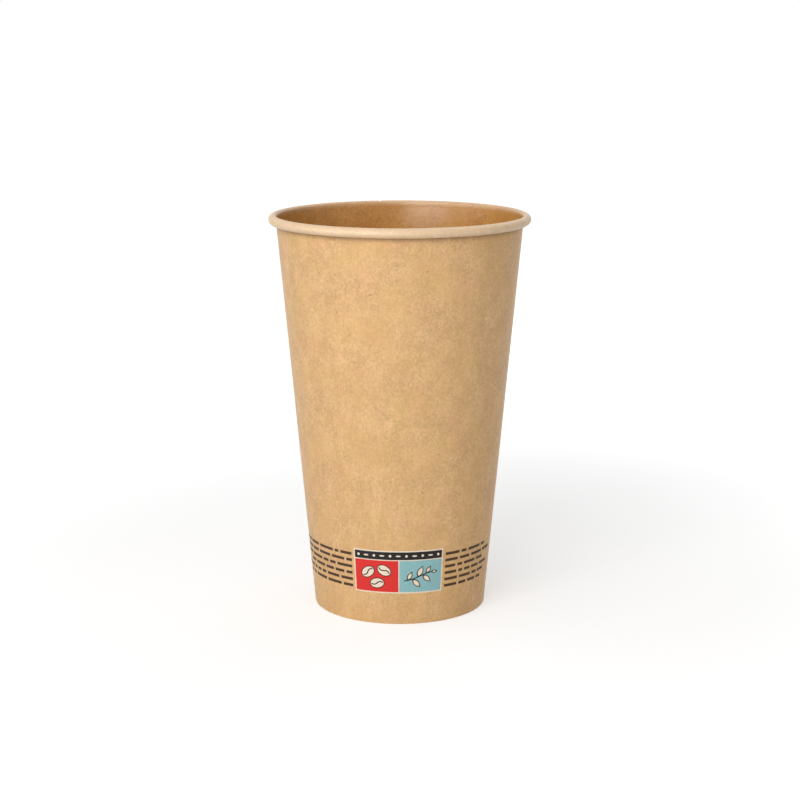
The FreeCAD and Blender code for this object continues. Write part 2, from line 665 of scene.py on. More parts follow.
    def solid_board(self) -> bpy.types.Node:
        """Gives the sheet its thickness and its finishes.

        Returns:
            The last node, whose output is the closed board.
        """
        write = self.write
        mesh, last = self.sheet()
        inputs = {"Mesh": mesh, "Offset Scale": 0.0, "Individual": False}
        thick = write.add("GeometryNodeExtrudeMesh", inputs, mode="FACES")
        top = write.out(thick, "Top")
        side = write.out(thick, "Side")
        name = {"Name": self.FAR}
        far = write.add("GeometryNodeInputNamedAttribute", name, data_type="FLOAT_VECTOR")
        inputs = {"Geometry": write.out(thick, "Mesh"), "Selection": top, "Position": far}
        outer = write.add("GeometryNodeSetPosition", inputs)
        kraft = {"Geometry": outer, "Selection": top, "Material": self.given("Kraft face")}
        outer = write.add("GeometryNodeSetMaterial", kraft)
        cut = {"Geometry": outer, "Selection": side, "Material": self.given("Cut edge")}
        outer = write.add("GeometryNodeSetMaterial", cut)
        row = write.add("GeometryNodeInputNamedAttribute", {"Name": "row"}, data_type="FLOAT")
        # A side face between two rows counts as half a row, so this leaves out the last edge alone
        inputs = {0: row, 1: write.calc("SUBTRACT", last, 0.25)}
        needless = write.add("FunctionNodeCompare", inputs, operation="LESS_THAN")
        for other in (side, self.given("Closed")):
            inputs = {0: other, 1: needless}
            needless = write.add("FunctionNodeBooleanMath", inputs, operation="AND")
        inputs = {"Geometry": outer, "Selection": needless}
        outer = write.add("GeometryNodeDeleteGeometry", inputs, domain="FACE")
        inner = write.add("GeometryNodeFlipFaces", {"Mesh": mesh})
        coated = {"Geometry": inner, "Material": self.given("Coated face")}
        inner = write.add("GeometryNodeSetMaterial", coated)
        both = write.add("GeometryNodeJoinGeometry")
        write.feed(both, 0, outer)
        write.feed(both, 0, inner)
        whole = write.add("GeometryNodeMergeByDistance", {"Geometry": both, "Distance": SAME_POINT})
        for name in (self.FAR, "row"):
            inputs = {"Geometry": whole, "Name": name}
            whole = write.add("GeometryNodeRemoveAttribute", inputs)
        return write.add("GeometryNodeRealizeInstances", {"Geometry": whole})


@dataclass(frozen=True)
class Grain:
    """One layer of noise on the flat sheet of board.

    Scale is how many of its largest features go to a metre, detail how many finer scales there
    are, and roughness how strong each of them is beside the one before. The plain noise is 0 or 1
    where it is further than reach from a half. Stretch is the scale up the board as a share of
    the scale round the cup, and shift takes the layer to a place of its own.
    """

    scale: float
    detail: float
    roughness: float
    reach: float
    stretch: float = 1.0
    shift: Point = (0.0, 0.0)

    def lay(self, write: TreeWriter, sheet: Any) -> bpy.types.NodeSocket:
        """Lays the noise on the sheet.

        Args:
            write: The writer of the material's tree.
            sheet: The place on the flat sheet.

        Returns:
            The noise, from 0 to 1.
        """
        place = write.vector("MULTIPLY_ADD", sheet, (1.0, self.stretch, 1.0), (*self.shift, 0.0))
        inputs = {
            "Vector": place,
            "Scale": self.scale,
            "Detail": self.detail,
            "Roughness": self.roughness,
        }
        value = write.add("ShaderNodeTexNoise", inputs).outputs[0]
        return write.ramp(value, 0.5 - self.reach, 0.5 + self.reach)


@dataclass(frozen=True)
class Flecks:
    """Small dark flecks, in a few cells of an uneven grid on the flat sheet of board.

    Sizes are shares of a cell, and rarity is the share of cells without a fleck. A fleck fades
    out between the two distances of its edge, which are shares of its size. The wobble is how far
    its outline strays from a circle.
    """

    cells_in_metre: float = 145.0
    smallest: float = 0.012
    largest: float = 0.05
    rarity: float = 0.9
    edge: tuple[float, float] = (0.5, 1.2)
    strength: float = 0.7
    wobble: float = 1.6 * MM
    wobble_scale: float = 900.0

    def lay(self, write: TreeWriter, sheet: Any) -> bpy.types.NodeSocket:
        """Lays the flecks on the sheet.

        Args:
            write: The writer of the material's tree.
            sheet: The place on the flat sheet.

        Returns:
            How much of a fleck there is, from 0 to 1.
        """
        inputs = {"Vector": sheet, "Scale": self.wobble_scale, "Detail": 2.0}
        bent = write.add("ShaderNodeTexNoise", inputs).outputs[1]
        shift = write.scaled(write.vector("SUBTRACT", bent, (0.5, 0.5, 0.5)), self.wobble)
        inputs = {"Vector": write.vector("ADD", sheet, shift), "Scale": self.cells_in_metre}
        cells = write.add("ShaderNodeTexVoronoi", inputs, voronoi_dimensions="2D")
        pick = write.add("ShaderNodeSeparateColor", {"Color": write.out(cells, "Color")})
        size = write.ramp(write.out(pick, "Green"), 0.0, 1.0, self.smallest, self.largest)
        inside = write.calc("DIVIDE", write.out(cells, "Distance"), size)
        near = write.ramp(inside, *self.edge, 1.0, 0.0, soft=True)
        chosen = write.calc("GREATER_THAN", write.out(pick, "Red"), self.rarity)
        return write.calc("MULTIPLY", write.calc("MULTIPLY", near, chosen), self.strength)


@dataclass(frozen=True)
class BoardFinish:
    """Brown kraft board: mottled fibres, a drift of hue and a few dark flecks.

    The pattern follows the flat sheet that the board was cut from, so that it breaks at the lap
    as the real one does. Where the board is rolled into the rim, its face is stretched and has
    creases and waves, and it is paler there: partly as stretched board is, and partly as painted
    light on the roll. A face may have painted shade between two heights, the upper of which is
    in the corner under the rim, where the roll's shadow falls.
    """

    name: str
    pale: Colour
    deep: Colour
    yellow: Colour
    pink: Colour
    rim: Colour
    roughness: float
    rim_roughness: float
    ior: float
    seed: float
    bump: float
    painted_shade_heights: tuple[float, float] | None = None
    painted_shade_level: float = 0.62
    clouds: Grain = Grain(scale=110.0, detail=4.0, roughness=0.95, reach=0.085, stretch=0.85)
    fibres: Grain = Grain(scale=1150.0, detail=1.5, roughness=0.8, reach=0.11, stretch=0.85)
    drift: Grain = Grain(scale=70.0, detail=3.0, roughness=0.6, reach=0.13, shift=(0.37, 0.11))
    drift_share: float = 0.4
    blush: Grain = Grain(scale=110.0, detail=3.0, roughness=0.65, reach=0.12, shift=(0.73, 0.29))
    blush_share: float = 0.36
    bands: Grain = Grain(scale=150.0, detail=2.0, roughness=0.6, reach=0.25, stretch=0.2)
    band_levels: tuple[float, float] = (0.965, 1.035)
    flecks: Flecks = Flecks()
    fleck_level: float = 0.42
    creases: Grain = Grain(scale=460.0, detail=3.0, roughness=0.8, reach=0.15, stretch=0.3)
    crease_height: float = 1.8
    crease_share: float = 0.4
    waves: Grain = Grain(scale=300.0, detail=2.0, roughness=0.6, reach=0.2, shift=(0.51, 0.0))
    wave_height: float = 3.0
    rim_low_level: float = 0.84
    rim_board_share: float = 0.2

    def material(self) -> bpy.types.Material:
        """Makes the material.

        Returns:
            A new material with the finish.
        """
        material, write = new_material(self.name)
        sheet = write.out(write.add("ShaderNodeAttribute", attribute_name="sheet"), "Vector")
        sheet = write.vector("ADD", sheet, (0.0, 0.0, self.seed))
        rolled = write.out(write.add("ShaderNodeAttribute", attribute_name="rolled"), "Fac")
        mottle = write.blend(0.5, self.clouds.lay(write, sheet), self.fibres.lay(write, sheet))
        creases = self.creases.lay(write, sheet)
        colour = self.flat_colour(write, sheet, mottle)
        # On the rolled rim the colour turns paler: partly stretched board, partly painted light on the
        # roll
        colour = write.blend(rolled, colour, self.rim_colour(write, colour, mottle, creases))
        # Painted shade: the colour darkens towards the corner under the rolled rim, where the roll's
        # shadow falls
        if self.painted_shade_heights:
            place = write.out(write.add("ShaderNodeTexCoord"), "Object")
            height = write.out(write.add("ShaderNodeSeparateXYZ", {0: place}), "Z")
            level = write.ramp(height, *self.painted_shade_heights, 1.0, self.painted_shade_level, soft=True)
            colour = write.scaled(colour, level)
        relief = write.calc("MULTIPLY", creases, self.crease_height)
        waves = self.waves.lay(write, sheet)
        relief = write.calc("MULTIPLY_ADD", waves, self.wave_height, relief)
        relief = write.calc("MULTIPLY_ADD", relief, rolled, mottle)
        normal = {"Strength": 1.0, "Distance": self.bump, "Height": relief}
        inputs = {
            "Base Color": colour,
            "Roughness": write.ramp(rolled, 0.0, 1.0, self.roughness, self.rim_roughness),
            "Normal": write.add("ShaderNodeBump", normal),
            "IOR": self.ior,
        }
        shader = write.add("ShaderNodeBsdfPrincipled", inputs)
        write.add("ShaderNodeOutputMaterial", {"Surface": shader})
        return material

    def flat_colour(self, write: TreeWriter, sheet: Any, mottle: Any) -> bpy.types.NodeSocket:
        """Mixes the colour that the board has where it isn't rolled.

        Args:
            write: The writer of the material's tree.
            sheet: The place on the flat sheet.
            mottle: How light the fibres are.

        Returns:
            The colour.
        """
        colour = write.blend(mottle, self.deep, self.pale)
        hues = (
            (self.drift, self.drift_share, self.yellow),
            (self.blush, self.blush_share, self.pink),
        )
        for grain, share, hue in hues:
            amount = write.calc("MULTIPLY", grain.lay(write, sheet), share)
            colour = write.blend(amount, colour, hue)
        level = write.ramp(self.bands.lay(write, sheet), 0.0, 1.0, *self.band_levels)
        colour = write.scaled(colour, level)
        fleck = darker(self.deep, self.fleck_level)
        return write.blend(self.flecks.lay(write, sheet), colour, fleck)

    def rim_colour(
        self, write: TreeWriter, flat: Any, mottle: Any, creases: Any
    ) -> bpy.types.NodeSocket:
        """Mixes the colour that the board has on the rolled rim.

        Args:
            write: The writer of the material's tree.
            flat: The board's colour where it isn't rolled.
            mottle: How light the fibres are.
            creases: How high the creases stand.

        Returns:
            The colour.
        """
        lift = write.calc("MULTIPLY", creases, self.crease_share)
        lift = write.calc("MULTIPLY_ADD", mottle, 1.0 - self.crease_share, lift)
        colour = write.blend(lift, darker(self.rim, self.rim_low_level), self.rim)
        return write.blend(self.rim_board_share, colour, flat)


@dataclass(frozen=True)
class CutEdgeFinish:
    """The bare cut edge of the board, where the core's fibres show."""

    name: str = "cut_board_edge"
    pale: Colour = (0.62, 0.40, 0.22, 1.0)
    deep: Colour = (0.42, 0.25, 0.12, 1.0)
    roughness: float = 0.85
    grain_scale: float = 2600.0
    bump: float = 0.03 * MM
    bump_strength: float = 0.6

    def material(self) -> bpy.types.Material:
        """Makes the material.

        Returns:
            A new material with the finish.
        """
        material, write = new_material(self.name)
        grain = fine_grain(write, self.grain_scale)
        colour = write.blend(grain, self.deep, self.pale)
        inputs = {"Strength": self.bump_strength, "Distance": self.bump, "Height": grain}
        normal = write.add("ShaderNodeBump", inputs)
        inputs = {"Base Color": colour, "Roughness": self.roughness, "Normal": normal}
        shader = write.add("ShaderNodeBsdfPrincipled", inputs)
        write.add("ShaderNodeOutputMaterial", {"Surface": shader})
        return material


KRAFT_FACE = BoardFinish(
    name="kraft_face",
    pale=from_screen(240, 199, 147),
    deep=from_screen(203, 162, 114),
    yellow=from_screen(225, 184, 115),
    pink=from_screen(225, 173, 128),
    rim=from_screen(244, 212, 174),
    roughness=0.4,
    rim_roughness=0.45,
    ior=1.2,
    seed=0.0,
    bump=0.022 * MM,
    # Painted shade in the corner under the rolled rim
    painted_shade_heights=(131.9 * MM, 134.3 * MM),
)

COATED_FACE = BoardFinish(
    name="coated_face",
    pale=from_screen(212, 156, 82),
    deep=from_screen(176, 119, 52),
    yellow=from_screen(197, 144, 58),
    pink=from_screen(192, 133, 64),
    # Rim colour: partly stretched board, partly painted light where the roll catches the lamps
    rim=from_screen(243, 214, 178),
    roughness=0.24,
    rim_roughness=0.44,
    ior=1.6,
    seed=1.7,
    bump=0.03 * MM,
)


@dataclass
class SideWall:
    """The rolled blank: hem, wall and rolled rim in one sheet, glued to itself at the back.

    The rolled shares say how far the board belongs to the rim, where the roll begins and at the
    end of each of its bends. The flare angle parts the first bend in two for them.
    """

    form: CupForm
    tree: RolledBoardTree
    columns: int = 288
    seam_columns: int = 16
    seam_edge_angle: float = math.radians(90.0)
    seam_tuck: float = 1.6 * MM
    ply_gap: float = 0.01 * MM
    hem_steps: int = 6
    fold_steps: int = 5
    flat_steps: int = 2
    wall_steps: int = 30
    neck: float = 1.2 * MM
    neck_steps: int = 3
    flare_angle: float = 0.7 * math.pi
    roll_steps: tuple[int, ...] = (6, 6, 10, 9, 8)
    rolled_shares: tuple[float, ...] = (0.45, 0.6, 0.9, 1.0, 1.0, 1.0)
    lip_steps: int = 2
    crease: float = math.radians(38.0)

    def rows(self) -> list[BoardRow]:
        """The sheet's section, from the hem's top edge to the end of the roll.

        Returns:
            The rows, in order.
        """
        return [*self.hem_rows(), *self.fold_rows(), *self.wall_rows(), *self.roll_rows()]

    def hem_rows(self) -> list[BoardRow]:
        """Lays out the hem, from its cut edge down to the fold.

        Returns:
            The rows, in order.
        """
        form = self.form
        board = form.wall_board
        coated = (
            (form.hem_radius(form.hem_height, 0.0), form.hem_height),
            (form.hem_radius(form.fold_height, 0.0), form.fold_height),
        )
        kraft = (
            (form.hem_radius(form.hem_height, board), form.hem_height),
            (form.hem_radius(form.hem_corner, board), form.hem_corner),
        )
        return [BoardRow(coated[0], kraft[0]), *board_rows_along(coated, kraft, self.hem_steps)]

    def fold_rows(self) -> list[BoardRow]:
        """Lays out the fold that the cup stands on.

        Returns:
            The rows, in order.
        """
        form = self.form
        slant = math.cos(form.lean)
        board = form.wall_board
        foot = form.fold_height
        radii = (form.fold_inside_radius, form.hem_corner)
        hem = (
            (form.hem_radius(foot, 0.0) + radii[0] / slant, foot),
            (form.hem_radius(radii[1], board) + radii[1] / slant, radii[1]),
        )
        wall = (
            (form.wall_radius(foot, 0.0) - radii[0] / slant, foot),
            (form.wall_radius(radii[1], board) - radii[1] / slant, radii[1]),
        )
        lowest = -math.pi / 2
        down = board_rows_round(hem, radii, (-math.pi - form.lean, lowest), self.fold_steps)
        start = down[-1]
        ends = [point_on(centre, radius, lowest) for centre, radius in zip(wall, radii)]
        faces = ((start.coated, ends[0]), (start.kraft, ends[1]))
        flat = board_rows_along(*faces, self.flat_steps)
        up = board_rows_round(wall, radii, (lowest, -form.lean), self.fold_steps)
        return [*down, *flat, *up]

    def wall_rows(self) -> list[BoardRow]:
        """Lays out the straight wall, from the fold to where the roll begins.

        Its last stretch is the neck, where the roll has begun to stretch the board's faces and
        where the rim's paler colour, partly painted light, begins.

        Returns:
            The rows, in order.
        """
        start = self.fold_rows()[-1]
        upright = math.pi - self.form.lean
        centre = (self.form.crest_radius, self.form.height - self.form.rim_inner_radius)
        ends = [
            point_on(centre, self.form.rim_inner_radius - depth, upright)
            for depth in (0.0, self.form.wall_board)
        ]
        share = self.neck / math.dist(start.coated, ends[0])
        neck = [between(end, face, share) for end, face in zip(ends, (start.coated, start.kraft))]
        faces = ((start.coated, neck[0]), (start.kraft, neck[1]))
        rows = board_rows_along(*faces, self.wall_steps)
        for step in range(1, self.neck_steps + 1):
            share = step / self.neck_steps
            faces = (between(neck[0], ends[0], share), between(neck[1], ends[1], share))
            rows.append(BoardRow(*faces, rolled=self.rolled_shares[0] * share))
        return rows

    def roll_rows(self) -> list[BoardRow]:
        """Lays out the rolled rim, from the wall over the top and down to the lip beside the wall.

        Returns:
            The rows, in order.
        """
        form = self.form
        lower = form.rim_lower_radius
        inner = (form.crest_radius, form.height - form.rim_inner_radius)
        upper = (form.crest_radius, form.height - form.rim_upper_radius)
        under = (form.rim_radius - lower, upper[1])
        lip = (under[0], under[1] - lower + form.lip_radius)
        bends = (
            (inner, form.rim_inner_radius),
            (inner, form.rim_inner_radius),
            (upper, form.rim_upper_radius),
            (under, lower),
            (lip, form.lip_radius),
        )
        turns = (
            math.pi - form.lean,
            self.flare_angle,
            math.pi / 2,
            0.0,
            -math.pi / 2,
            -math.pi - form.lean,
        )
        rows: list[BoardRow] = []
        for number, (centre, radius) in enumerate(bends):
            radii = (radius, radius - form.wall_board)
            angles = (turns[number], turns[number + 1])
            rolled = (self.rolled_shares[number], self.rolled_shares[number + 1])
            steps = self.roll_steps[number]
            rows += board_rows_round((centre, centre), radii, angles, steps, rolled)
        last = rows[-1]
        along = (form.lip_length * math.sin(form.lean), form.lip_length * math.cos(form.lean))
        ends = [(face[0] + along[0], face[1] + along[1]) for face in (last.coated, last.kraft)]
        faces = ((last.coated, ends[0]), (last.kraft, ends[1]))
        return [*rows, *board_rows_along(*faces, self.lip_steps, rolled=1.0)]

    def build(self, finishes: dict[str, bpy.types.Material]) -> bpy.types.Object:
        """Rolls the sheet and puts it in the place of its solid.

        Args:
            finishes: The materials of the coated face, the kraft face and the cut edge.

        Returns:
            The finished piece.
        """
        form = self.form
        board = form.wall_board
        pressed_ply = (board + form.seam_step) / 2
        values = {
            "Columns": self.columns,
            "Seam columns": self.seam_columns,
            "Start angle": self.seam_edge_angle,
            "Lap angle": form.seam_angle(form.seam_lap),
            "Climb angle": form.seam_angle(form.seam_climb),
            "Tuck angle": form.seam_angle(self.seam_tuck),
            "Lift share": (pressed_ply + self.ply_gap / 2) / board,
            "Step share": form.seam_step / board,
            "Press share": (board - pressed_ply + self.ply_gap / 2) / board,
            "Reference radius": form.rim_radius,
            "Closed": False,
            **finishes,
        }
        piece = self.tree.apply(board_guide("rolled_wall", self.rows()), values)
        smooth(piece, self.crease)
        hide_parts("side_wall")
        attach(piece, "root")
        return piece


@dataclass
class BottomDisc:
    """The floor of the cup, with its edge turned down into the pocket between wall and hem."""

    form: CupForm
    tree: RolledBoardTree
    columns: int = 180
    floor_steps: int = 14
    bend_steps: int = 8
    skirt_steps: int = 4
    crease: float = math.radians(38.0)

    def rows(self) -> list[BoardRow]:
        """The disc's section, from its middle to the foot of its skirt.

        Returns:
            The rows, in order.
        """
        form = self.form
        board = form.disc_board
        bend_height = form.floor_height - form.disc_bend
        outside = -form.seal_gap
        bend = (
            form.wall_radius(bend_height, outside) - form.disc_bend / math.cos(form.lean),
            bend_height,
        )
        coated = ((0.0, form.floor_height), (bend[0], form.floor_height))
        kraft = tuple((radius, height - board) for radius, height in coated)
        foot = form.wall_board + form.seal_gap
        radii = (form.disc_bend, form.disc_bend - board)
        angles = (math.pi / 2, -form.lean)
        around = board_rows_round((bend, bend), radii, angles, self.bend_steps)
        ends = [(form.wall_radius(foot, depth), foot) for depth in (outside, outside - board)]
        faces = ((around[-1].coated, ends[0]), (around[-1].kraft, ends[1]))
        skirt = board_rows_along(*faces, self.skirt_steps)
        middle = BoardRow(coated[0], kraft[0])
        return [middle, *board_rows_along(coated, kraft, self.floor_steps), *around, *skirt]

    def build(self, finishes: dict[str, bpy.types.Material]) -> bpy.types.Object:
        """Shapes the disc and puts it in the place of its solid.

        Args:
            finishes: The materials of the coated face, the kraft face and the cut edge.

        Returns:
            The finished piece.
        """
        values = {
            "Columns": self.columns - 2,
            "Seam columns": 1,
            "Start angle": 0.0,
            "Lap angle": 0.0,
            "Climb angle": 2 * math.pi / self.columns,
            "Tuck angle": 2 * math.pi / self.columns,
            "Lift share": 0.0,
            "Step share": 0.0,
            "Press share": 0.0,
            "Reference radius": self.form.base_radius,
            "Closed": True,
            **finishes,
        }
        piece = self.tree.apply(board_guide("floor_disc", self.rows()), values)
        smooth(piece, self.crease)
        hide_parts("bottom_disc")
        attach(piece, "root")
        return piece


class Ink(Enum):
    """The inks of the print, each with the colour that a screen shows for it."""

    CREAM = (250, 232, 209)
    RED = (230, 51, 46)
    BLUE = (148, 196, 199)
    BLACK = (28, 24, 24)
    BROWN = (76, 50, 28)


@dataclass(frozen=True)
class InkFinish:
    """Matt ink on board, with a little of the board's grain in it.

    Where the ink is thin it keeps a share of its colour, and the board adds a little light.
    """

    ink: Ink
    roughness: float = 0.55
    ior: float = 1.3
    grain_scale: float = 1300.0
    bump: float = 0.012 * MM
    thin_share: float = 0.86
    board_light: float = 0.012

    def material(self) -> bpy.types.Material:
        """Makes the material.

        Returns:
            A new material with the finish.
        """
        material, write = new_material(f"{self.ink.name.lower()}_ink")
        grain = fine_grain(write, self.grain_scale)
        full = from_screen(*self.ink.value)
        thin = tuple(channel * self.thin_share + self.board_light for channel in full[:3])
        colour = write.blend(grain, (*thin, 1.0), full)
        normal = write.add("ShaderNodeBump", {"Distance": self.bump, "Height": grain})
        inputs = {
            "Base Color": colour,
            "Roughness": self.roughness,
            "IOR": self.ior,
            "Normal": normal,
        }
        shader = write.add("ShaderNodeBsdfPrincipled", inputs)
        write.add("ShaderNodeOutputMaterial", {"Surface": shader})
        return material


def rounded_box(left: float, right: float, bottom: float, top: float, radius: float) -> list[Point]:
    """Outline of an upright rectangle with rounded corners.

    Args:
        left: Left side.
        right: Right side.
        bottom: Lower side.
        top: Upper side.
        radius: Radius of the corners.

    Returns:
        The outline's points, counterclockwise.
    """
    centres = (
        (right - radius, top - radius),
        (left + radius, top - radius),
        (left + radius, bottom + radius),
        (right - radius, bottom + radius),
    )
    return [
        point_on(centre, radius, math.pi / 2 * (corner + step / CORNER_STEPS))
        for corner, centre in enumerate(centres)
        for step in range(CORNER_STEPS + 1)
    ]


def placed(outline: list[Point], centre: Point, tilt: float) -> list[Point]:
    """An outline turned by an angle in radians and moved to a centre."""
    across, up = math.cos(tilt), math.sin(tilt)
    return [
        (centre[0] + x * across - z * up, centre[1] + x * up + z * across) for x, z in outline
    ]


def oval(length: float, width: float) -> list[Point]:
    """Outline of an oval about the origin, with its length along x."""
    turns = [2 * math.pi * side / OVAL_SIDES for side in range(OVAL_SIDES)]
    return [(length / 2 * math.cos(turn), width / 2 * math.sin(turn)) for turn in turns]


def leaf(length: float, width: float, inset: float = 0.0) -> list[Point]:
    """Outline of a pointed leaf that grows from the origin along x.

    Args:
        length: Its length.
        width: Its greatest width, which is nearer to the stem than to the tip.
        inset: How far its sides are drawn in. Its points are drawn in further.

    Returns:
        The outline's points, counterclockwise.
    """
    start = inset * LEAF_POINT_ROOM
    reach = length - 2 * start
    half = width / 2 - inset
    shares = [step / LEAF_STEPS for step in range(LEAF_STEPS + 1)]
    swells = [half * math.sin(math.pi * share**LEAF_FULLNESS) for share in shares]
    upper = [(start + reach * share, swell) for share, swell in zip(shares, swells)]
    lower = [(x, -z) for x, z in upper]
    return [*lower, *reversed(upper[1:-1])]


class FlatArt:
    """Flat shapes of one ink: x runs along the wall to the right and z up the wall.

    A shape's layer says how many other inks lie under it.
    """

    def __init__(self, layer_step: float, strip: float) -> None:
        """Starts with no shapes.

        Args:
            layer_step: Height of one layer above the next.
            strip: Widest stretch that stays flat when the art is wrapped.
        """
        self.layer_step = layer_step
        self.strip = strip
        self.shapes = bmesh.new()

    def fill(self, outline: list[Point], layer: int) -> None:
        """Adds a filled shape.

        Args:
            outline: Its points, counterclockwise.
            layer: Its layer.
        """
        depth = -layer * self.layer_step
        self.shapes.faces.new([self.shapes.verts.new((x, depth, z)) for x, z in outline])

    def line(self, path: list[Point], width: float, layer: int) -> None:
        """Adds a line of one width.

        Args:
            path: The points that it goes through.
            width: Its width.
            layer: Its layer.
        """
        depth = -layer * self.layer_step
        sides = []
        for index, (x, z) in enumerate(path):
            before = path[max(index - 1, 0)]
            after = path[min(index + 1, len(path) - 1)]
            length = math.dist(before, after)
            across = (before[1] - after[1]) / length * width / 2
            up = (after[0] - before[0]) / length * width / 2
            ends = ((x - across, depth, z - up), (x + across, depth, z + up))
            sides.append([self.shapes.verts.new(end) for end in ends])
        for first, second in zip(sides, sides[1:]):
            self.shapes.faces.new([first[0], second[0], second[1], first[1]])

    def guide(self, name: str) -> bpy.types.Object:
        """Cuts the shapes into strips that can follow the wall.

        Args:
            name: Name of the piece that they become.

        Returns:
            The guide that the wrapping tree starts from.
        """
        places = [vertex.co.x for vertex in self.shapes.verts]
        cut = math.floor(min(places) / self.strip) + 1
        while cut * self.strip < max(places):
            everything = [*self.shapes.verts, *self.shapes.edges, *self.shapes.faces]
            place = (cut * self.strip, 0.0, 0.0)
            bmesh.ops.bisect_plane(
                self.shapes,
                geom=everything,
                dist=SAME_POINT,
                plane_co=place,
                plane_no=(1.0, 0.0, 0.0),
            )
            cut += 1
        mesh = bpy.data.meshes.new(name)
        self.shapes.to_mesh(mesh)
        self.shapes.free()
        return new_object(name, mesh)


Art = dict[Ink, FlatArt]


class PrintTree(GeometryTree):
    """Wraps flat shapes round the wall and gives them the thickness of a layer of ink.

    The print keeps its drawn width at the true height, about the middle of the panel.
    """

    SIZES = ("Base radius", "Wall slope", "Reference radius", "Ink thickness")
    TRUE_HEIGHT = 20 * MM

    def __init__(
        self, name: str = "Wrapped print", more: dict[str, SocketKind] | None = None
    ) -> None:
        """Writes the tree.

        Args:
            name: The tree's name.
            more: Inputs that it takes besides the wall's.
        """
        wall = {size: SocketKind.NUMBER for size in self.SIZES}
        super().__init__(name, {**wall, "Ink": SocketKind.MATERIAL, **(more or {})})
        self.end_with(self.wrapped(self.flat_shapes()))

    def flat_shapes(self) -> Any:
        """The shapes before they are wrapped."""
        return self.given("Guide")

    def wrapped(self, flat: Any) -> bpy.types.Node:
        """Bends the shapes round the cone and closes them.

        Args:
            flat: The flat shapes.

        Returns:
            The last node, whose output is the layer of ink.
        """
        write = self.write
        place = write.add("GeometryNodeInputPosition")
        place = write.add("ShaderNodeSeparateXYZ", {0: place})
        across = write.out(place, "X")
        layer = write.out(place, "Y")
        height = write.out(place, "Z")
        angle = write.calc("DIVIDE", across, self.given("Reference radius"))
        slope = self.given("Wall slope")
        radius = write.calc("MULTIPLY_ADD", height, slope, self.given("Base radius"))
        radius = write.calc("SUBTRACT", radius, layer)
        side = write.calc("MULTIPLY", radius, write.calc("SINE", angle))
        back = write.calc("MULTIPLY", radius, write.calc("COSINE", angle))
        back = write.calc("MULTIPLY", back, -1.0)
        point = write.add("ShaderNodeCombineXYZ", {"X": side, "Y": back, "Z": height})
        bent = write.add("GeometryNodeSetPosition", {"Geometry": flat, "Position": point})
        thickness = self.given("Ink thickness")
        inputs = {"Mesh": bent, "Offset Scale": thickness, "Individual": False}
        raised = write.add("GeometryNodeExtrudeMesh", inputs, mode="FACES")
        both = write.add("GeometryNodeJoinGeometry")
        write.feed(both, 0, write.out(raised, "Mesh"))
        write.feed(both, 0, write.add("GeometryNodeFlipFaces", {"Mesh": bent}))
        whole = write.add("GeometryNodeMergeByDistance", {"Geometry": both, "Distance": SAME_POINT})
        plain = write.add("GeometryNodeRealizeInstances", {"Geometry": whole})
        inputs = {"Geometry": plain, "Material": self.given("Ink")}
        return write.add("GeometryNodeSetMaterial", inputs)

    def wall_values(self, form: CupForm) -> dict[str, float]:
        """Says where the wall is.

        Args:
            form: The cup's sizes.

        Returns:
            A value for each of the wall's inputs, by name.
        """
        slope = math.tan(form.lean)
        return {
            "Base radius": form.base_radius,
            "Wall slope": slope,
            "Reference radius": form.base_radius + self.TRUE_HEIGHT * slope,
        }


